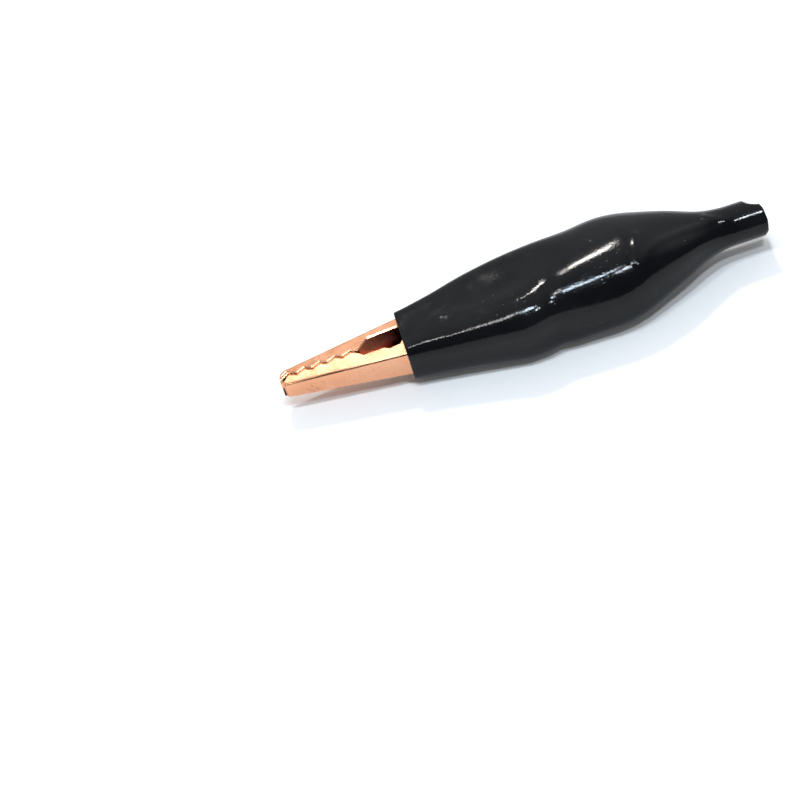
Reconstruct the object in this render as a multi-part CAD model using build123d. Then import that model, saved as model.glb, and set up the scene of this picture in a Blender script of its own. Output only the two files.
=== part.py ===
from build123d import *
import math
import os

# Alligator clip in a soft boot: two pressed copper-plated jaws on a hollow rivet, sprung shut.
#
# Frame, in millimetres: the rivet's axis is the line x = 0, y = 0. -X is the nose, +X is the
# cable end, +Y is the side of the jaw that is crimped to the lead, -Y is the side of the jaw
# that the thumb presses, and z = 0 is the surface that the clip lies on, on its side.

# The clip lies on its side with its middle this far above the surface, which is larger than the clip.
MID_HEIGHT = 4.7
SURFACE_SIZE = 200

# Sheet metal
SHEET = 0.45
BEND_RADIUS = 0.42
SIDE_CLEARANCE = 0.08

# Where things are along the clip
NOSE_X = -26.5
CRIMP_NOSE_FACE_X = NOSE_X + 0.1
CRIMP_NOSE_BACK_X = NOSE_X + 2.0
NOSE_ARC_X = NOSE_X + 0.3
CRIMP_NOSE_EDGE_Y = -0.3
CRIMP_NOSE_ARC_Y = 0.95
CRIMP_NOSE_INNER_ARC_Y = 0.7
THUMB_NOSE_FACE_X = NOSE_X + 0.4
THUMB_NOSE_EDGE_Y = -0.45
THUMB_NOSE_RADIUS = 0.6
THUMB_LIP_LENGTH = 0.6
THUMB_LIP_Y = -0.1
CRIMP_TAIL_X = 25.4
HANDLE_BEND_X = 15.6
HANDLE_START_X = 5.7

# Half widths of the outer (crimp) jaw, straight from the nose to the rivet
CRIMP_NOSE_HALF_WIDTH = 2.15
CRIMP_HALF_WIDTH = 3.35

# The webs: distance from the rivet's axis, and slope per mm of x
CRIMP_WEB_Y = 4.65
CRIMP_WEB_SLOPE = 0.12
CRIMP_TAIL_Y = 6.35
THUMB_WEB_Y = 4.6
THUMB_WEB_SLOPE = 0.137

# Teeth: a skewed zigzag on the crimp jaw, repeated a little higher on the thumb jaw
TOOTH_PITCH = 2.54
TOOTH_COUNT = 5
TOOTH_LEAD = 1.1
FIRST_NOTCH_X = -24.65
NOTCH_Y = 0.92
TIP_Y = 0.35
HIDDEN_TOOTH_LIFT = 0.2

# The eye: the opening between the teeth and the rivet, its edge on each jaw from the nose back
CRIMP_EYE = [(-11.5, 2.1), (-6.4, 2.25)]
THUMB_EYE = [(-12.7, -0.75), (-9.3, -0.8), (-8.4, -1.35), (-6.6, -1.1), (-5.9, 0.1)]

# Ears round the rivet: a round one on the crimp jaw, and a flat-topped one hidden behind it
LOBE_CENTRE = (-0.6, 3.75)
LOBE_RADIUS = 6.05
LOBE_END_X = 5.1
THUMB_EAR = [(-1.5, 2.6), (1.5, 2.6), (4.6, 0.3), (5.8, -1.7)]

# Crimp handle
HANDLE_WALL = 1.9
TAIL_WALL = 1.0
WIRE_HOLES_X = (9.3, 13.2, 17.0)
WIRE_HOLE_RADIUS = 1.2
EAR_START_X = 20.2
EAR_TIP_X = (23.6, 24.7)
EAR_FOOT = 1.0
EAR_HEIGHT = 4.7
EAR_CORNER_RADIUS = 0.5
EAR_FLARE_DEG = 8

# Thumb pad
PAD_X = 12.2
PAD_RADIUS = 3.7
PAD_RIM = 0.95
HOLLOW_MIDDLE = (6.9, -3.8)
HOLLOW_END_X = PAD_X - 2.4

# Hollow rivet
RIVET_RADIUS = 1.0
RIVET_BORE_RADIUS = 0.72
RIVET_LIP_RADIUS = 1.3
RIVET_LIP = 0.3
RIVET_STAND_OFF = 0.2
RIVET_CLEARANCE = 0.04

# Torsion spring
WIRE_RADIUS = 0.4
COIL_RADIUS = 1.75
COIL_TURNS = 3.5
COIL_PITCH = 1.0
LEG_X = 9.0
LEG_GAP = 0.06

# Boot: outer sections as (x, low y, high y, low z, high z, corner radius), heights from the clip's middle
BOOT_MOUTH_X = -6.1
BOOT_SECTIONS = [
    (BOOT_MOUTH_X, -4.55, 4.75, -3.9, 3.9, 1.6),
    (-1.0, -5.35, 5.5, -4.8, 4.65, 1.8),
    (7.4, -7.2, 7.4, -4.8, 5.6, 2.1),
    (14.9, -8.0, 8.4, -4.8, 6.4, 2.3),
    (20.7, -8.2, 8.8, -4.8, 7.1, 3.4),
    (28.4, -8.7, 9.4, -4.8, 7.5, 4.6),
    (32.5, -7.8, 8.9, -4.6, 7.2, 4.8),
    (36.8, -5.9, 7.6, -3.9, 6.2, 4.4),
    (40.6, -3.6, 6.3, -3.2, 5.2, 3.9),
]
BOOT_WALL = 0.55
TAIL_X = 46.5
BOOT_END_X = 53.9
TAIL_Y = 2.1
TAIL_Z = 0.8
TAIL_RADIUS = 3.2
INLET_RADIUS = 2.4
TAIL_SQUARENESS = 0.05

# The thumb-side wall of the boot, which gives with the thumb jaw, ends on this line
FLANK_LINE = ((-8.0, -1.2), (19.5, -5.2))
FLANK_SLIT = 0.1


def crimp_web_y(x):
    """Outer face of the crimp jaw's web, as a distance from the rivet's axis."""
    return CRIMP_WEB_Y + CRIMP_WEB_SLOPE * x


def thumb_web_y(x):
    """Outer face of the thumb jaw's web."""
    return -(THUMB_WEB_Y + THUMB_WEB_SLOPE * x)


def crimp_half_width(x):
    """Outer half width of the crimp jaw: it narrows from the rivet to the nose."""
    taper = (CRIMP_HALF_WIDTH - CRIMP_NOSE_HALF_WIDTH) / -NOSE_X
    return CRIMP_HALF_WIDTH + taper * min(x, 0)


def thumb_half_width(x):
    """Outer half width of the thumb jaw, which runs inside the crimp jaw."""
    return crimp_half_width(x) - SHEET - SIDE_CLEARANCE


def teeth(lift):
    """Zigzag points from the nose to the last tip: a notch, then a tip, for each tooth."""
    points = []
    for i in range(TOOTH_COUNT):
        notch_x = FIRST_NOTCH_X + i * TOOTH_PITCH
        points.append((notch_x, NOTCH_Y + lift))
        points.append((notch_x + TOOTH_LEAD, TIP_Y + lift))
    return points


def prism(edges, height=30):
    """A side-view outline, pulled both ways from the clip's middle."""
    return extrude(make_face(edges), amount=height / 2, both=True)


def plan_prism(half_width, x_end, inset=0.0):
    """The stretch between two upright walls that follow half_width(x), less inset on each side."""
    x_start = NOSE_X - 2
    stations = [x_start, 0, x_end]
    upper = [(x, half_width(x) - inset) for x in stations]
    lower = [(x, inset - half_width(x)) for x in reversed(stations)]
    outline = make_face(Polyline(*upper, *lower, close=True))
    return extrude(Plane.XZ * outline, amount=20, both=True)


def round_bends(part, on_web):
    """Round the long outer bends between a web and its side walls."""
    bends = [e for e in part.edges() if on_web(e.center()) and abs(e.tangent_at(0.5).Z) < 0.3]
    return fillet(bends, BEND_RADIUS)


def crimp_outline():
    """Side view of the crimp jaw: web, rounded nose, teeth, eye, rivet ear and handle wall."""
    nose_top = (CRIMP_NOSE_BACK_X, crimp_web_y(CRIMP_NOSE_BACK_X))
    nose_low = (CRIMP_NOSE_FACE_X, CRIMP_NOSE_EDGE_Y)
    tips = teeth(0)
    lobe_bottom = (LOBE_CENTRE[0], LOBE_CENTRE[1] - LOBE_RADIUS)
    lobe_drop = math.sqrt(LOBE_RADIUS**2 - (LOBE_END_X - LOBE_CENTRE[0]) ** 2)
    lobe_end = (LOBE_END_X, LOBE_CENTRE[1] - lobe_drop)
    handle_start = (HANDLE_START_X, crimp_web_y(HANDLE_START_X) - HANDLE_WALL)
    handle_end = (HANDLE_BEND_X, crimp_web_y(HANDLE_BEND_X) - HANDLE_WALL)
    tail_low = (CRIMP_TAIL_X, CRIMP_TAIL_Y - TAIL_WALL)
    tail_top = (CRIMP_TAIL_X, CRIMP_TAIL_Y)
    bend_top = (HANDLE_BEND_X, crimp_web_y(HANDLE_BEND_X))
    return [
        Line(bend_top, nose_top),
        ThreePointArc(nose_top, (NOSE_ARC_X, CRIMP_NOSE_ARC_Y), nose_low),
        Polyline(nose_low, *tips, *CRIMP_EYE),
        ThreePointArc(CRIMP_EYE[-1], lobe_bottom, lobe_end),
        Polyline(lobe_end, handle_start, handle_end, tail_low, tail_top, bend_top),
    ]


def crimp_cavity():
    """Side view of the space inside the crimp jaw, open towards the thumb jaw and at the tail."""
    bend = (HANDLE_BEND_X, crimp_web_y(HANDLE_BEND_X) - SHEET)
    nose_top = (CRIMP_NOSE_BACK_X + 0.1, crimp_web_y(CRIMP_NOSE_BACK_X + 0.1) - SHEET)
    nose_low = (CRIMP_NOSE_FACE_X + SHEET, CRIMP_NOSE_EDGE_Y)
    tail = (CRIMP_TAIL_X + 1, CRIMP_TAIL_Y - SHEET)
    return [
        Line(bend, nose_top),
        ThreePointArc(nose_top, (NOSE_ARC_X + SHEET, CRIMP_NOSE_INNER_ARC_Y), nose_low),
        Polyline(nose_low, (nose_low[0], -9), (tail[0], -9), tail, bend),
    ]


def crimp_ear():
    """One of the two ears that fold round the lead: a rounded triangle, flared outwards."""
    root_y = CRIMP_TAIL_Y - BEND_RADIUS
    foot_y = root_y - EAR_FOOT
    tip_y = root_y - EAR_HEIGHT
    outline = make_face(
        Polyline(
            (EAR_START_X, root_y), (EAR_START_X + 0.2, foot_y), (EAR_TIP_X[0], tip_y),
            (EAR_TIP_X[1], tip_y), (CRIMP_TAIL_X, foot_y), (CRIMP_TAIL_X, root_y), close=True,
        )
    )
    ear = extrude(outline, amount=SHEET)
    tip_corners = ear.edges().filter_by(Axis.Z).sort_by(Axis.Y)[:2]
    ear = fillet(tip_corners, EAR_CORNER_RADIUS)
    return ear.moved(Location((0, 0, CRIMP_HALF_WIDTH - SHEET))).rotate(
        Axis((0, root_y, CRIMP_HALF_WIDTH - SHEET), (1, 0, 0)), -EAR_FLARE_DEG
    )


def make_crimp_jaw():
    """The jaw that holds the lead: the outer channel, with wire holes and two crimp ears."""
    outside = prism(crimp_outline()) & plan_prism(crimp_half_width, CRIMP_TAIL_X + 2)
    inside = prism(crimp_cavity()) & plan_prism(crimp_half_width, CRIMP_TAIL_X + 2, SHEET)

    def on_web(point):
        if point.X > HANDLE_BEND_X:
            share = (point.X - HANDLE_BEND_X) / (CRIMP_TAIL_X - HANDLE_BEND_X)
            bend_y = crimp_web_y(HANDLE_BEND_X)
            web_y = bend_y + share * (CRIMP_TAIL_Y - bend_y)
        else:
            web_y = crimp_web_y(point.X)
        on_nose = point.X < NOSE_X + 1.6 and point.Y > 0.3
        return abs(point.Z) > 1.0 and (abs(point.Y - web_y) < 0.02 or on_nose)

    jaw = round_bends(outside, on_web) - inside
    ear = crimp_ear()
    jaw += ear
    jaw += mirror(ear, about=Plane.XY)
    for x in WIRE_HOLES_X:
        jaw -= Pos(x, crimp_web_y(x), 0) * Rot(X=90) * Cylinder(WIRE_HOLE_RADIUS, 4)
    return jaw - Cylinder(RIVET_RADIUS + RIVET_CLEARANCE, 12)


def thumb_outline():
    """Side view of the thumb jaw: web, nose, teeth, eye, rivet ear and the hollow before the pad."""
    nose_corner = (THUMB_NOSE_FACE_X, thumb_web_y(THUMB_NOSE_FACE_X))
    nose_top = (THUMB_NOSE_FACE_X, THUMB_NOSE_EDGE_Y)
    lip_end = (THUMB_NOSE_FACE_X + THUMB_LIP_LENGTH, THUMB_LIP_Y)
    tips = teeth(HIDDEN_TOOTH_LIFT)
    hollow_end = (HOLLOW_END_X, thumb_web_y(HOLLOW_END_X) + PAD_RIM - 0.2)
    wall_end = (PAD_X, thumb_web_y(PAD_X) + 0.3)
    return [
        Line(nose_top, lip_end),
        Polyline(lip_end, *tips[:-1], *THUMB_EYE, *THUMB_EAR),
        ThreePointArc(THUMB_EAR[-1], HOLLOW_MIDDLE, hollow_end),
        Polyline(hollow_end, wall_end, (PAD_X, thumb_web_y(PAD_X)), nose_corner, nose_top),
    ]


def thumb_cavity():
    """Side view of the space inside the thumb jaw, open towards the crimp jaw and at the pad."""
    nose_x = THUMB_NOSE_FACE_X + SHEET
    pad_end = PAD_X + PAD_RADIUS + 1
    return Polyline(
        (nose_x, 4), (nose_x, thumb_web_y(nose_x) + SHEET), (pad_end, thumb_web_y(pad_end) + SHEET),
        (pad_end, 4), close=True,
    )


def on_thumb_web(x, part):
    """Turn a part drawn on the XZ plane so that it lies on the thumb jaw's web at x."""
    angle = -math.degrees(math.atan(THUMB_WEB_SLOPE))
    return Pos(x, thumb_web_y(x), 0) * Rot(Z=angle) * part


def thumb_pad_blank():
    """The round pad as a solid disc, its outer edge turned over like the bends."""
    disc = Cylinder(PAD_RADIUS, PAD_RIM, align=(Align.CENTER, Align.CENTER, Align.MIN))
    disc = fillet(disc.edges().sort_by(Axis.Z)[0], BEND_RADIUS)
    return on_thumb_web(PAD_X, Rot(X=-90) * disc)


def thumb_pad_hollow():
    """What is cut from the disc: its dish, and the doorway to the channel."""
    above = (Align.CENTER, Align.CENTER, Align.MIN)
    dish = Cylinder(PAD_RADIUS - SHEET, 5, align=above)
    doorway = Pos(-PAD_RADIUS, 0, 0) * Box(5, 2 * (thumb_half_width(0) - SHEET), 3, align=above)
    return on_thumb_web(PAD_X, Rot(X=-90) * Pos(0, 0, SHEET) * (dish + doorway))


def make_thumb_jaw():
    """The jaw that the thumb opens: the inner channel, ending in a round pad."""
    outside = prism(thumb_outline()) & plan_prism(thumb_half_width, PAD_X + 8)
    inside = prism(thumb_cavity()) & plan_prism(thumb_half_width, PAD_X + 9, SHEET)

    upright = outside.edges().filter_by(Axis.Z).sort_by(Axis.X)
    nose_edge = [edge for edge in upright if edge.center().Y < THUMB_NOSE_EDGE_Y - SHEET][0]
    outside = fillet(nose_edge, THUMB_NOSE_RADIUS)

    def on_web(point):
        return abs(point.Z) > 0.8 and abs(point.Y - thumb_web_y(point.X)) < 0.02

    jaw = round_bends(outside, on_web) - inside
    jaw = jaw + thumb_pad_blank() - thumb_pad_hollow()
    return jaw - Cylinder(RIVET_RADIUS + RIVET_CLEARANCE, 12)


def make_rivet():
    """A hollow rivet through both jaws, with a rolled lip standing off each side."""
    half = CRIMP_HALF_WIDTH + RIVET_STAND_OFF + RIVET_LIP
    rivet = Cylinder(RIVET_RADIUS, 2 * half)
    lip = Cylinder(RIVET_LIP_RADIUS, RIVET_LIP)
    lip = fillet(lip.edges(), RIVET_LIP * 0.45)
    for side in (-1, 1):
        rivet += Pos(0, 0, side * (half - RIVET_LIP / 2)) * lip
    return rivet - Cylinder(RIVET_BORE_RADIUS, 3 * half)


def tangent_point(target, side):
    """Where a straight leg from target touches the coil's middle circle; side is +1 or -1 in y."""
    distance = math.hypot(*target)
    angle = math.atan2(target[1], target[0]) + side * math.acos(COIL_RADIUS / distance)
    return COIL_RADIUS * math.cos(angle), COIL_RADIUS * math.sin(angle), angle


def make_spring():
    """A torsion spring round the rivet, with one leg against each web."""
    to_web = SHEET + WIRE_RADIUS + LEG_GAP
    crimp_end = (LEG_X, crimp_web_y(LEG_X) - to_web)
    thumb_end = (LEG_X, thumb_web_y(LEG_X) + to_web)
    start_x, start_y, start_angle = tangent_point(crimp_end, 1)
    end_x, end_y, end_angle = tangent_point(thumb_end, -1)
    turns = math.floor(COIL_TURNS) + (end_angle - start_angle) / (2 * math.pi) % 1
    height = turns * COIL_PITCH
    coil_path = Helix(COIL_PITCH, height, COIL_RADIUS)
    start_plane = Plane(origin=coil_path @ 0, z_dir=coil_path % 0)
    coil = sweep(start_plane * Circle(WIRE_RADIUS), path=coil_path, is_frenet=True)
    spring = Pos(0, 0, -height / 2) * Rot(Z=math.degrees(start_angle)) * coil
    ends = (((start_x, start_y), crimp_end, -height / 2), ((end_x, end_y), thumb_end, height / 2))
    for (root_x, root_y), (tip_x, tip_y), z in ends:
        direction = Vector(tip_x - root_x, tip_y - root_y, 0)
        root = Plane(origin=(root_x, root_y, z), z_dir=direction)
        spring += extrude(root * Circle(WIRE_RADIUS), direction.length)
        spring += Pos(root_x, root_y, z) * Sphere(WIRE_RADIUS)
    return spring


def boot_section(station, wall):
    """One rounded section of the boot, taken in from its outside by the wall."""
    x, low_y, high_y, low_z, high_z, corner = station
    middle = Plane(origin=(x, (low_y + high_y) / 2, (low_z + high_z) / 2), x_dir=(0, 1, 0), z_dir=(1, 0, 0))
    return middle * RectangleRounded(high_y - low_y - 2 * wall, high_z - low_z - 2 * wall, corner - wall)


def tail_section(x, radius):
    """A section of the cable tube, round but for very short flats, so that it lofts with the others."""
    middle = Plane(origin=(x, TAIL_Y, TAIL_Z), x_dir=(0, 1, 0), z_dir=(1, 0, 0))
    return middle * RectangleRounded(2 * radius, 2 * radius, radius - TAIL_SQUARENESS)


def along_x(x_start, x_end, radius):
    """A round bar along the cable tube's axis."""
    length = x_end - x_start
    return Pos((x_start + x_end) / 2, TAIL_Y, TAIL_Z) * Rot(Y=90) * Cylinder(radius, length)


def make_boot_shell():
    """The whole moulded boot: a thin oval sleeve, shouldered down to a round cable tube."""
    outer = loft(
        [boot_section(s, 0) for s in BOOT_SECTIONS]
        + [tail_section(TAIL_X, TAIL_RADIUS)],
        ruled=True,
    )
    outer += along_x(TAIL_X, BOOT_END_X, TAIL_RADIUS)
    inner = loft(
        [boot_section(s, BOOT_WALL) for s in BOOT_SECTIONS]
        + [tail_section(TAIL_X, INLET_RADIUS)],
        ruled=True,
    )
    # The underside is pressed flat by the surface it lies on
    below = Pos(0, 0, -MID_HEIGHT - SURFACE_SIZE / 2) * Box(SURFACE_SIZE, SURFACE_SIZE, SURFACE_SIZE)
    outer -= below
    mouth = BOOT_SECTIONS[0]
    lead_in = extrude(boot_section(mouth, BOOT_WALL), amount=-1)
    return outer - inner - lead_in - along_x(TAIL_X - 1, BOOT_END_X + 1, INLET_RADIUS)


def flank_region(shift):
    """The space on the thumb's side of the flank line, moved towards the thumb by shift."""
    (x_front, y_front), (x_rear, y_rear) = FLANK_LINE
    outline = Polyline(
        (x_front, y_front - shift), (x_rear - shift, y_rear - shift), (x_rear - shift, -20), (x_front, -20),
        close=True,
    )
    return prism(outline, 40)


def main():
    """Build every piece, lift it to the resting height and write it."""
    shell = make_boot_shell()
    pieces = {
        "crimp_jaw": make_crimp_jaw(),
        "thumb_jaw": make_thumb_jaw(),
        "hollow_rivet": make_rivet(),
        "torsion_spring": make_spring(),
        "boot": shell - flank_region(0),
        "boot_flank": shell & flank_region(FLANK_SLIT),
    }
    os.makedirs("parts", exist_ok=True)
    for name, piece in pieces.items():
        export_step(Pos(0, 0, MID_HEIGHT) * piece, f"parts/{name}.step")


main()
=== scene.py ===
import math

import bmesh
import bpy
import numpy as np
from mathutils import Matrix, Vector


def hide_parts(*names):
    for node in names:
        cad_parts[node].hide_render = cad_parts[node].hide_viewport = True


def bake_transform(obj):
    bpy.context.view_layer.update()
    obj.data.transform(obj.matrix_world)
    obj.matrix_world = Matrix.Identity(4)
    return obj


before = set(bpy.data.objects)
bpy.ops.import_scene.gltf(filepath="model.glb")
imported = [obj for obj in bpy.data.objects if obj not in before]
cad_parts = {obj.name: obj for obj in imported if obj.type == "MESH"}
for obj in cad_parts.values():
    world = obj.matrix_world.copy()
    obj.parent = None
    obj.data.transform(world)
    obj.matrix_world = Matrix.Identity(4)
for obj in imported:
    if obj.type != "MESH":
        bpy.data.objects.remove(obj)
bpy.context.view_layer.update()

# An alligator clip in a soft boot, lying on its side on a pale surface. The shapes below are in
# millimetres, measured from the rivet: X towards the cable end, Y towards the crimped jaw, and Z
# up along the rivet. MM turns them into metres, and MIDDLE lifts them to where the clip lies.
MM = 0.001
MIDDLE = 4.7

# Camera: how it looks down on the clip, how far the picture is turned, and where its centre falls
CAMERA_ELEVATION = 50.0
CAMERA_ROLL = 18.3
CAMERA_DISTANCE = 450.0
FRAME_WIDTH = 125.6
CENTRE_ALONG_CLIP = -9.5
CENTRE_ACROSS_CLIP = -7.6
SENSOR_WIDTH = 36.0

# Boot sections: x, low y, high y, low z, high z, and how square each corner is, from 2 for an oval
# upwards. The corners go round from the top on the crimp side, at these angles, over the thumb side.
CORNER_ANGLES = (45, 135, 225, 315)
BOOT_SECTIONS = [
    (-6.1, -4.7, 4.9, -3.9, 3.9, 7.5, 4.4, 4.4, 6.0),
    (0.0, -5.9, 6.2, -4.7, 4.7, 6.0, 3.6, 3.3, 6.0),
    (6.0, -7.1, 7.6, -4.7, 5.5, 5.2, 3.4, 3.8, 6.0),
    (12.0, -8.2, 8.4, -4.7, 5.8, 6.0, 3.6, 4.8, 6.0),
    (17.5, -8.2, 8.7, -4.7, 6.4, 4.6, 3.1, 4.4, 6.0),
    (23.0, -8.5, 9.1, -4.7, 6.7, 3.1, 2.8, 3.6, 5.5),
    (28.0, -8.8, 9.7, -4.7, 7.0, 3.4, 2.6, 3.4, 4.0),
    (32.0, -8.1, 9.5, -4.7, 7.1, 2.8, 2.8, 2.9, 3.0),
    (36.0, -6.2, 8.4, -4.1, 6.4, 2.7, 3.4, 2.6, 2.8),
    (40.0, -4.2, 7.3, -3.4, 5.4, 2.7, 3.6, 2.4, 2.5),
    (44.0, -1.8, 5.8, -2.7, 4.4, 2.1, 2.7, 2.1, 2.1),
    (47.0, -1.1, 5.3, -2.4, 4.0, 2.0, 2.0, 2.0, 2.0),
    (53.8, -1.1, 5.3, -2.4, 4.0, 2.0, 2.0, 2.0, 2.0),
]
# How much the top slopes down towards the crimp side, and the thumb's side leans back, along the clip
TOP_SLOPE = ([-6, 0, 12, 22], [0.04, 0.11, 0.11, 0.0])
SIDE_LEAN = ([0, 12, 20, 34, 44], [0.02, 0.04, 0.15, 0.15, 0.0])

# Where things are along the clip, the middle of the tail as y and z, and the height of the flat underside
NOSE_X = -26.5
MOUTH_X = -6.1
TAIL_START_X = 47.0
TAIL_END_X = 53.8
TAIL_CENTRE = (2.1, 0.8)
UNDERSIDE = -4.69

# The boot's wall, which thickens into the tail, and its rolled lip: how far ahead of the mouth, and at
# what share of the wall
BOOT_WALL = 0.5
TAIL_WALL = 0.8
THICKENING_START_X = 40.0
LIP = [(0.09, 0.85), (0.13, 0.5), (0.09, 0.15)]

# The torn end of the tail: the direction across the tear, then places across it and how far each of
# them sticks out
TEAR_DIRECTION = (0.766, 0.643)
TORN_EDGE = (
    [-3.2, -2.6, -1.0, 0.9, 1.8, 1.95, 2.1, 2.25, 2.4, 2.7, 3.2],
    [-0.7, -0.2, 0.0, -0.15, -0.45, -1.2, -1.4, -1.9, -2.3, -2.4, -2.7],
)

# Relief on the boot's top: its height, its width, and the line that it follows, seen from above
TOP_RELIEF = {
    "handle_crown": (0.50, 4.0, [(12.5, -3.6), (30.5, 1.0)]),
    "mouth_fold": (0.07, 1.3, [(0, 0), (-5.5, -3.6)]),
    "rear_fold": (0.08, 1.0, [(0, 0), (6, -1.6)]),
    "crease": (0.20, 0.6, [(33.3, 1.0), (31.8, -4.0)]),
    "shoulder_fold": (0.20, 0.7, [(32.6, -4.4), (34.0, -2.4), (36.4, -1.1), (40, 0), (45, 1.2)]),
    "neck_fold": (0.22, 0.7, [(44.6, 2.3), (47.4, 0.9)]),
    "rear_ridge": (0.10, 1.1, [(15, -6.15), (21, -5.35), (27, -4.4), (30, -3.9)]),
    "front_ridge": (0.05, 0.5, [(0.5, -4.6), (11, -6.3)]),
}
# The rivet's print: its height and width
RIVET_PRINT = (0.20, 1.6)
# Relief on the thumb's side: its height, its width, and its place along the clip
SIDE_RELIEF = {
    "pad_print": (0.10, 3.0, 12.4),
    "pinch_behind_pad": (-0.30, 1.6, 17.6),
}

# How finely the boot is drawn, and over what length the corners between its sections are rounded off
RING_STEP = 0.3
POINTS_ROUND = 176
SMOOTHING = 1.5
SMOOTHING_STEPS = np.linspace(-2, 2, 9)

# How bright the surround is behind the clip and in front of it, and how far the change reaches
PALE_SIDE = 0.7
DARK_SIDE = 0.08
SURROUND_FADE = 0.35
SURROUND_COLOUR = (0.96, 0.98, 1.0, 1)

# Lights: place in metres, height and length in metres, power in watts, and colour. The four small ones
# are each seen in the glossy boot as one highlight.
LIGHTS = {
    "key": ((-0.45, 0.35, 0.8), (0.9, 0.9), 0.35, (1.0, 0.99, 0.97)),
    "band": ((0.03, 0.42, 0.57), (0.045, 0.08), 1.5, (1.0, 0.95, 0.9)),
    "ridge": ((0.03, -0.08, 0.60), (0.04, 0.10), 1.2, (0.72, 0.87, 1.0)),
    "tail": ((0.134, -0.204, 0.56), (0.05, 0.05), 1.0, (0.85, 0.93, 1.0)),
    "bend": ((-0.12, -0.03, 0.60), (0.025, 0.16), 0.7, (1.0, 0.97, 0.95)),
}
LIGHT_AIM = (0.01, 0, 0.005)

# The floor, in metres: half its width, and how far it lies under the clip
FLOOR_HALF = 3.0
FLOOR_GAP = 0.00001

# Colours
COPPER_TONES = (0.84, 0.40, 0.225, 1), (0.86, 0.45, 0.275, 1)
STAIN_COLOUR = (0.36, 0.13, 0.08, 1)
# Painted shade on the jaws' insides: lighter at the front of the eye, darkest from its rear backwards
PAINTED_SHADE_TONES = (0.40, 0.15, 0.085, 1), (0.11, 0.022, 0.016, 1)
STEEL_TONES = (0.62, 0.60, 0.57, 1), (0.42, 0.40, 0.38, 1)
PVC_TONES = (0.0045, 0.0048, 0.0058, 1), (0.0075, 0.0078, 0.009, 1)
DUST_COLOUR = (0.25, 0.25, 0.26, 1)
FLOOR_TONES = (0.86, 0.86, 0.87, 1), (0.89, 0.89, 0.89, 1)

# How far each jaw's sides lean in the copper's bump, as a slope at the nose and at the boot's mouth
CRIMP_LEAN = (-0.12, -0.12)
THUMB_LEAN = (0.03, -0.05)
RIVET_LEAN = (0.0, 0.0)

# How strongly bump turns up the cut edges that face the thumb's side, as a slope, and how far a face
# must turn to that side to count as such an edge, from not at all to fully
CUT_EDGE_ROUNDING = -1.9
EDGE_FACING = (-0.3, -0.5)

# The webs that the spring's legs press on: distance from the rivet, and slope along the clip
SHEET = 0.45
CRIMP_WEB_Y = 4.65
CRIMP_WEB_SLOPE = 0.12
THUMB_WEB_Y = 4.6
THUMB_WEB_SLOPE = 0.137

# The eye behind the teeth, from front to rear, and how deep the jaws' insides and cut edges lie there
EYE_FRONT_X = -12.5
EYE_REAR_X = -7.0
WEB_START = 0.85
EDGE_DEPTH = 2.35
INSIDE_DEPTH = 2.6

# A face that looks towards the clip's middle counts as inside over this stretch away from the middle,
# and the insides get painted shade between these places along the clip, ahead of the rivet
INWARD_DEPTHS = (-0.3, -1.0)
PAINTED_SHADE_PLACES = (0.3 * EYE_REAR_X, 0.7 * EYE_REAR_X)

# Torsion spring
WIRE_RADIUS = 0.4
COIL_RADIUS = 1.75
COIL_TURNS = 3.5
COIL_PITCH = 1.0
LEG_X = 9.0
LEG_GAP = 0.06
STEPS_PER_TURN = 40
WIRE_SIDES = 20


def smoothed(x, column):
    """One column of the boot's sections at x, with the corners between its straight runs rounded off."""
    stations = [row[0] for row in BOOT_SECTIONS]
    values = [row[column] for row in BOOT_SECTIONS]
    weights = np.exp(-SMOOTHING_STEPS ** 2 / 2)
    near = [np.interp(x + step * SMOOTHING, stations, values) for step in SMOOTHING_STEPS]
    return float(np.dot(near, weights) / weights.sum())


def hump(distance, width):
    """A smooth bump of height 1, falling away over the width."""
    return np.exp(-(distance / width) ** 2)


def distance_to_line(x, y, *points):
    """How far points are from a line of straight runs, seen from above."""
    nearest = np.full(np.shape(y), 1e6)
    for (x0, y0), (x1, y1) in zip(points, points[1:]):
        length = math.hypot(x1 - x0, y1 - y0)
        along = np.clip(((x - x0) * (x1 - x0) + (y - y0) * (y1 - y0)) / length ** 2, 0, 1)
        nearest = np.minimum(nearest, np.hypot(x - x0 - along * (x1 - x0), y - y0 - along * (y1 - y0)))
    return nearest


def boot_relief(x, y, z):
    """How far the skin stands out from its plain section: prints of the metal inside, and creases."""
    top = np.clip(z / 2.5, 0, 1)
    thumb_side = np.clip(-y / 3, 0, 1)
    height, width = RIVET_PRINT
    relief = height * top * hump(np.hypot(x, y), width)
    for height, width, line in TOP_RELIEF.values():
        relief += height * top * hump(distance_to_line(x, y, *line), width)
    for height, width, middle in SIDE_RELIEF.values():
        relief += height * thumb_side * hump(x - middle, width)
    return relief


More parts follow.
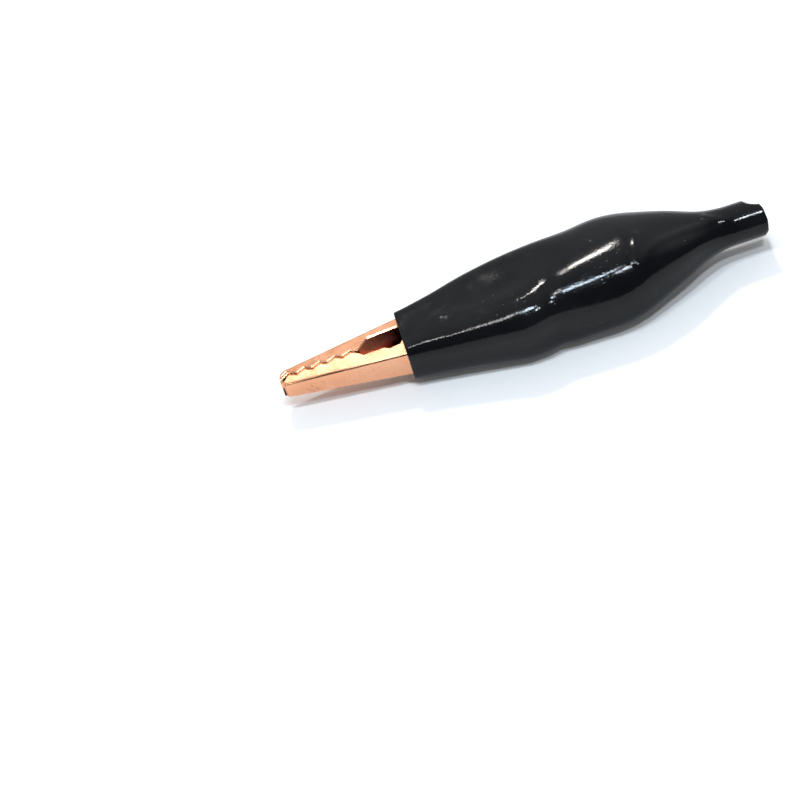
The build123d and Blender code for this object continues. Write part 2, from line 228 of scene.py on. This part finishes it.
def boot_ring(x, inset):
    """One closed ring of the boot's skin, taken in by the inset."""
    low_y, high_y, low_z, high_z, *corners = [smoothed(x, column) for column in range(1, 9)]
    angles = np.linspace(0, 2 * math.pi, POINTS_ROUND, endpoint=False)
    squareness = np.zeros(POINTS_ROUND)
    for corner, value in zip(CORNER_ANGLES, corners):
        squareness += value * np.clip(np.cos(angles - math.radians(corner)), 0, 1) ** 2
    half_y = (high_y - low_y) / 2 - inset
    half_z = (high_z - low_z) / 2 - inset
    power_y = np.abs(np.cos(angles) / half_y) ** squareness
    power_z = np.abs(np.sin(angles) / half_z) ** squareness
    reach = (power_y + power_z) ** (-1 / squareness)
    y = (low_y + high_y) / 2 + reach * np.cos(angles)
    z = (low_z + high_z) / 2 + reach * np.sin(angles)
    z -= np.interp(x, *TOP_SLOPE) * (y + 3) * np.clip(np.sin(angles), 0, 1) ** 2
    y += np.interp(x, *SIDE_LEAN) * (z - low_z) * np.clip(-np.cos(angles), 0, 1) ** 2
    out = boot_relief(x, y, z)
    y += out * np.cos(angles)
    z += out * np.sin(angles)
    return y, np.maximum(z, UNDERSIDE + inset)


def tail_end(y, z):
    """Where the cable tube ends, all round: torn back on the side away from the thumb."""
    across = TEAR_DIRECTION[0] * (y - TAIL_CENTRE[0]) + TEAR_DIRECTION[1] * (z - TAIL_CENTRE[1])
    torn = np.interp(across, *TORN_EDGE)
    return TAIL_END_X + torn


def boot_rings():
    """Every ring of the boot's skin, from inside the tail, out over the mouth and back to the tail."""
    stations = np.arange(MOUTH_X, TAIL_END_X + RING_STEP / 2, RING_STEP)
    outside = [(x, 0.0) for x in stations]
    walls = np.interp(stations, [THICKENING_START_X, TAIL_START_X], [BOOT_WALL, TAIL_WALL])
    inside = list(zip(stations, walls))[::-1]
    lip = [(MOUTH_X - ahead, BOOT_WALL * share) for ahead, share in LIP]
    return inside + lip + outside


def make_boot(material):
    """The boot as one thin closed skin, with its mouth's rolled lip and its torn tail."""
    mesh = bmesh.new()
    rings = []
    for x, inset in boot_rings():
        y, z = boot_ring(x, inset)
        share = max(x - TAIL_START_X, 0) / (TAIL_END_X - TAIL_START_X)
        xs = x + share * (tail_end(y, z) - TAIL_END_X)
        points = zip(xs, y, z)
        rings.append([mesh.verts.new((px * MM, py * MM, (pz + MIDDLE) * MM)) for px, py, pz in points])
    for ring, following in zip(rings, rings[1:] + rings[:1]):
        for i in range(POINTS_ROUND):
            j = (i + 1) % POINTS_ROUND
            mesh.faces.new((ring[i], ring[j], following[j], following[i]))
    bmesh.ops.recalc_face_normals(mesh, faces=mesh.faces)
    for face in mesh.faces:
        face.smooth = True
    return finished("boot_skin", mesh, material)


def finished(name, mesh, material):
    """A bmesh made into a named object with its material."""
    data = bpy.data.meshes.new(name)
    mesh.to_mesh(data)
    mesh.free()
    piece = bpy.data.objects.new(name, data)
    bpy.context.scene.collection.objects.link(piece)
    data.materials.append(material)
    return piece


def spring_path():
    """The middle of the spring's wire: a leg, the coil and the other leg."""
    to_web = SHEET + WIRE_RADIUS + LEG_GAP
    crimp_tip = (LEG_X, CRIMP_WEB_Y + CRIMP_WEB_SLOPE * LEG_X - to_web)
    thumb_tip = (LEG_X, to_web - THUMB_WEB_Y - THUMB_WEB_SLOPE * LEG_X)
    angles = []
    for tip, side in ((crimp_tip, 1), (thumb_tip, -1)):
        angles.append(math.atan2(tip[1], tip[0]) + side * math.acos(COIL_RADIUS / math.hypot(*tip)))
    turns = math.floor(COIL_TURNS) + (angles[1] - angles[0]) / (2 * math.pi) % 1
    height = turns * COIL_PITCH
    coil = []
    for t in np.linspace(0, 1, round(turns * STEPS_PER_TURN)):
        angle = angles[0] + 2 * math.pi * turns * t
        coil.append((COIL_RADIUS * math.cos(angle), COIL_RADIUS * math.sin(angle), height * (t - 0.5)))
    return [(*crimp_tip, -height / 2)] + coil + [(*thumb_tip, height / 2)], height


def make_spring(material):
    """The torsion spring as one round wire swept along its path, with its ends closed flat."""
    path, height = spring_path()
    points = [Vector(p) for p in path]
    mesh = bmesh.new()
    rings = []
    for i, point in enumerate(points):
        before = points[max(i - 1, 0)]
        after = points[min(i + 1, len(points) - 1)]
        along = (after - before).normalized()
        across = along.cross(Vector((0, 0, 1))).normalized()
        up = across.cross(along)
        ring = []
        for k in range(WIRE_SIDES):
            angle = 2 * math.pi * k / WIRE_SIDES
            p = point + WIRE_RADIUS * (math.cos(angle) * across + math.sin(angle) * up)
            ring.append(mesh.verts.new((p.x * MM, p.y * MM, (p.z + MIDDLE) * MM)))
        rings.append(ring)
    for ring, following in zip(rings, rings[1:]):
        for k in range(WIRE_SIDES):
            j = (k + 1) % WIRE_SIDES
            mesh.faces.new((ring[k], ring[j], following[j], following[k]))
    mesh.faces.new(rings[0])
    mesh.faces.new(rings[-1])
    bmesh.ops.recalc_face_normals(mesh, faces=mesh.faces)
    for face in mesh.faces:
        face.smooth = len(face.verts) == 4
    return finished("spring_wire_coil", mesh, material), height


class Nodes:
    """A material's nodes, added in short lines."""

    def __init__(self, name):
        self.material = bpy.data.materials.new(name)
        self.material.use_nodes = True
        self.tree = self.material.node_tree
        self.shader = self.tree.nodes["Principled BSDF"]
        position = self.add("ShaderNodeTexCoord").outputs
        self.place = position["Object"]
        self.direction = position["Normal"]

    def add(self, kind, settings=None, **inputs):
        """A node with its settings made, and its inputs set to values or linked to sockets."""
        node = self.tree.nodes.new(kind)
        for key, value in (settings or {}).items():
            setattr(node, key, value)
        for key, value in inputs.items():
            self.fill(node.inputs[key.replace("_", " ")], value)
        return node

    def fill(self, socket, value):
        """Link a socket to another, or set its value."""
        if isinstance(value, bpy.types.NodeSocket):
            self.tree.links.new(value, socket)
        else:
            socket.default_value = value

    def stretched(self, size):
        """The place in the object, with each axis scaled."""
        return self.add("ShaderNodeMapping", Vector=self.place, Scale=size).outputs["Vector"]

    def noise(self, scale, detail=3.0, place=None, roughness=0.5):
        """Noise from 0 to 1 with that many grains to the metre."""
        node = self.add("ShaderNodeTexNoise", Vector=place or self.place, Scale=scale, Detail=detail,
                        Roughness=roughness)
        return node.outputs["Fac"]

    def cells(self, scale):
        """How far each place is from its cell's middle, in a pattern with that many cells to the metre."""
        return self.add("ShaderNodeTexVoronoi", Vector=self.place, Scale=scale).outputs["Distance"]

    def between(self, value, low, high, to_low=0.0, to_high=1.0):
        """A value carried from one range smoothly into another."""
        node = self.add("ShaderNodeMapRange", {"interpolation_type": "SMOOTHSTEP"}, Value=value)
        for key, number in (("From Min", low), ("From Max", high), ("To Min", to_low), ("To Max", to_high)):
            node.inputs[key].default_value = number
        return node.outputs["Result"]

    def mix(self, amount, first, second):
        """One colour passing into another."""
        node = self.add("ShaderNodeMix", {"data_type": "RGBA"})
        self.fill(node.inputs[0], amount)
        self.fill(node.inputs[6], first)
        self.fill(node.inputs[7], second)
        return node.outputs[2]

    def sum(self, first, second, operation="ADD"):
        """Two values added, or otherwise combined."""
        node = self.add("ShaderNodeMath", {"operation": operation})
        self.fill(node.inputs[0], first)
        self.fill(node.inputs[1], second)
        return node.outputs[0]

    def bump(self, height, distance, under=None):
        """Relief on the surface, of that height in metres."""
        node = self.add("ShaderNodeBump", Height=height, Distance=distance, Strength=1.0)
        if under:
            self.fill(node.inputs["Normal"], under)
        return node.outputs["Normal"]

    def finish(self, **inputs):
        """Set the shader's own sockets, and give the material."""
        for key, value in inputs.items():
            self.fill(self.shader.inputs[key.replace("_", " ")], value)
        return self.material


def copper_plate(name, lean):
    """Bright copper plating on rolled sheet: soft tone changes, rolling lines, scratches, small stains,
    rounded cut edges and painted shade on the inside. The sheet bows slightly, so that its sides lean by
    those slopes."""
    n = Nodes(name)
    rolled = n.noise(1.0, 4.0, n.stretched((500, 5000, 5000)))
    cloud = n.noise(190, 4.0)
    tone = n.mix(n.between(cloud, 0.35, 0.65), *COPPER_TONES)
    stain_cells = n.noise(1500, 6.0, roughness=0.7)
    stain_areas = n.noise(260, 2.0)
    stain = n.sum(n.between(stain_cells, 0.56, 0.68), n.between(stain_areas, 0.54, 0.64), "MULTIPLY")
    stained = n.mix(n.sum(stain, 0.7, "MULTIPLY"), tone, STAIN_COLOUR)

    place = n.add("ShaderNodeSeparateXYZ", Vector=n.place).outputs
    facing = n.add("ShaderNodeSeparateXYZ", Vector=n.direction).outputs
    # Faces that look into the jaws, ahead of the rivet, get painted shade, darker towards the rear of the
    # eye
    to_middle = n.sum(n.sum(place["Z"], MIDDLE * MM, "SUBTRACT"), facing["Z"], "MULTIPLY")
    to_rivet = n.sum(place["Y"], facing["Y"], "MULTIPLY")
    inside_side = n.between(to_middle, *(depth * MM for depth in INWARD_DEPTHS))
    inside_web = n.between(to_rivet, -EDGE_DEPTH * MM, -INSIDE_DEPTH * MM)
    ahead = n.between(place["X"], *(x * MM for x in PAINTED_SHADE_PLACES))
    inside = n.sum(n.sum(inside_side, inside_web, "MAXIMUM"), ahead, "MULTIPLY")
    shade_deepening = n.between(place["X"], EYE_FRONT_X * MM, EYE_REAR_X * MM)
    painted_shade = n.mix(shade_deepening, *PAINTED_SHADE_TONES)
    colour = n.mix(inside, stained, painted_shade)

    roughness = n.between(n.sum(cloud, n.sum(rolled, 0.5, "MULTIPLY")), 0.4, 1.1, 0.2, 0.36)
    slope = n.between(place["X"], NOSE_X * MM, MOUTH_X * MM, *lean)
    above_inside = n.between(to_rivet, -INSIDE_DEPTH * MM, -EDGE_DEPTH * MM)
    below_web = n.between(to_rivet, WEB_START * MM, 0.5 * WEB_START * MM)
    edge_height = n.sum(above_inside, below_web, "MULTIPLY")
    on_cut_edge = n.sum(n.between(facing["Y"], *EDGE_FACING), edge_height, "MULTIPLY")
    edge = n.sum(n.sum(place["Z"], CUT_EDGE_ROUNDING, "MULTIPLY"), on_cut_edge, "MULTIPLY")
    bowed = n.bump(n.sum(n.sum(place["Y"], slope, "MULTIPLY"), edge), 1.0)
    dents = n.bump(n.noise(420, 2.0), 0.03 * MM, under=bowed)
    lines = n.bump(rolled, 0.004 * MM, under=dents)
    scratch = n.between(n.noise(1.0, 2.0, n.stretched((3000, 500, 1500))), 0.66, 0.7)
    scratched = n.bump(scratch, 0.004 * MM, under=lines)
    return n.finish(Base_Color=colour, Metallic=1.0, Roughness=roughness, Normal=scratched)


def spring_steel():
    """Drawn spring wire: grey steel with fine lines and a few darker patches."""
    n = Nodes("spring_steel")
    patches = n.noise(700, 4.0)
    colour = n.mix(n.between(patches, 0.4, 0.7), *STEEL_TONES)
    roughness = n.between(patches, 0.3, 0.7, 0.24, 0.4)
    lines = n.bump(n.noise(6000, 2.0), 0.003 * MM)
    return n.finish(Base_Color=colour, Metallic=1.0, Roughness=roughness, Normal=lines)


def soft_pvc():
    """Glossy soft PVC: near black, with a fine skin, faint scratches and a little dust."""
    n = Nodes("soft_pvc")
    cloud = n.noise(120, 3.0)
    base = n.mix(n.between(cloud, 0.35, 0.65), *PVC_TONES)
    spot = n.between(n.cells(900), 0.10, 0.05)
    chosen = n.between(n.noise(330, 1.0), 0.66, 0.7)
    dust = n.sum(spot, chosen, "MULTIPLY")
    colour = n.mix(n.sum(dust, 0.5, "MULTIPLY"), base, DUST_COLOUR)
    roughness = n.between(n.noise(500, 3.0), 0.3, 0.7, 0.08, 0.14)
    skin = n.bump(n.noise(3000, 2.0), 0.016 * MM)
    soft = n.bump(n.noise(300, 2.0), 0.02 * MM, under=skin)
    scratch = n.between(n.noise(1.0, 1.0, n.stretched((400, 3500, 2600))), 0.70, 0.73)
    scratched = n.bump(scratch, 0.005 * MM, under=soft)
    return n.finish(Base_Color=colour, Roughness=roughness, Specular_IOR_Level=0.22, Normal=scratched)


def pale_surface():
    """A plain pale table top."""
    n = Nodes("pale_surface")
    colour = n.mix(n.noise(40, 3.0), *FLOOR_TONES)
    return n.finish(Base_Color=colour, Roughness=0.8, Emission_Color=(1, 1, 1, 1), Emission_Strength=0.06)


def make_floor():
    """The plain pale surface that the clip lies on."""
    mesh = bmesh.new()
    corners = [(-1, -1), (1, -1), (1, 1), (-1, 1)]
    mesh.faces.new([mesh.verts.new((x * FLOOR_HALF, y * FLOOR_HALF, -FLOOR_GAP)) for x, y in corners])
    floor = finished("pale_floor", mesh, pale_surface())


def picture_axes():
    """The camera's right, up and backward directions."""
    elevation = math.radians(CAMERA_ELEVATION)
    roll = math.radians(CAMERA_ROLL)
    level_up = Vector((0, math.sin(elevation), math.cos(elevation)))
    along = Vector((1, 0, 0))
    right = math.cos(roll) * along - math.sin(roll) * level_up
    up = math.sin(roll) * along + math.cos(roll) * level_up
    return right, up, right.cross(up), level_up


def make_camera():
    """The camera, on the thumb's side of the clip and looking down at it."""
    right, up, back, level_up = picture_axes()
    centre = Vector((CENTRE_ALONG_CLIP, 0, MIDDLE)) + CENTRE_ACROSS_CLIP * level_up
    data = bpy.data.cameras.new("camera")
    data.sensor_width = SENSOR_WIDTH
    data.lens = SENSOR_WIDTH * CAMERA_DISTANCE / FRAME_WIDTH
    data.clip_start = 0.01
    camera = bpy.data.objects.new("camera", data)
    bpy.context.scene.collection.objects.link(camera)
    rotation = camera.matrix_world.to_3x3()
    for axis, direction in enumerate((right, up, back)):
        rotation.col[axis] = direction
    camera.matrix_world = rotation.to_4x4()
    camera.location = (centre + CAMERA_DISTANCE * back) * MM
    bpy.context.scene.camera = camera


def add_light(name, place, size, power, colour):
    """A soft rectangular light, aimed at the clip. Its size is its height and its length along the clip."""
    data = bpy.data.lights.new(name, "AREA")
    data.shape = "RECTANGLE"
    data.size, data.size_y = size
    data.energy = power
    data.color = colour
    lamp = bpy.data.objects.new(name, data)
    bpy.context.scene.collection.objects.link(lamp)
    back = (Vector(place) - Vector(LIGHT_AIM)).normalized()
    along = (Vector((1, 0, 0)) - back.x * back).normalized()
    rotation = lamp.matrix_world.to_3x3()
    for axis, direction in enumerate((along.cross(back), along, back)):
        rotation.col[axis] = direction
    lamp.matrix_world = rotation.to_4x4()
    lamp.location = place


def make_lights():
    """Plain soft studio light: a pale surround, a large key light and four small ones for the gloss."""
    world = bpy.data.worlds.new("pale_room")
    bpy.context.scene.world = world
    world.use_nodes = True
    tree = world.node_tree
    background = tree.nodes["Background"]
    direction = tree.nodes.new("ShaderNodeTexCoord")
    parts = tree.nodes.new("ShaderNodeSeparateXYZ")
    tree.links.new(direction.outputs["Generated"], parts.inputs["Vector"])
    fade = tree.nodes.new("ShaderNodeMapRange")
    fade.interpolation_type = "SMOOTHSTEP"
    tree.links.new(parts.outputs["Y"], fade.inputs["Value"])
    fade.inputs["From Min"].default_value = -SURROUND_FADE
    fade.inputs["From Max"].default_value = SURROUND_FADE
    fade.inputs["To Min"].default_value = DARK_SIDE
    fade.inputs["To Max"].default_value = PALE_SIDE
    tree.links.new(fade.outputs["Result"], background.inputs["Strength"])
    background.inputs["Color"].default_value = SURROUND_COLOUR
    for name, (place, size, power, colour) in LIGHTS.items():
        add_light(name, place, size, power, colour)
    bpy.context.scene.view_settings.view_transform = "Standard"


def main():
    """Dress the frame: metal on the pressed parts, a skin for the boot and a wire for the spring."""
    for name, lean in (("crimp_jaw", CRIMP_LEAN), ("thumb_jaw", THUMB_LEAN), ("hollow_rivet", RIVET_LEAN)):
        copper = copper_plate("copper_" + name, lean)
        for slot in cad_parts[name].material_slots:
            slot.material = copper
    boot = make_boot(soft_pvc())
    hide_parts("boot", "boot_flank")
    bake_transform(boot)
    spring, height = make_spring(spring_steel())
    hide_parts("torsion_spring")
    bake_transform(spring)
    make_floor()
    make_lights()
    make_camera()


main()
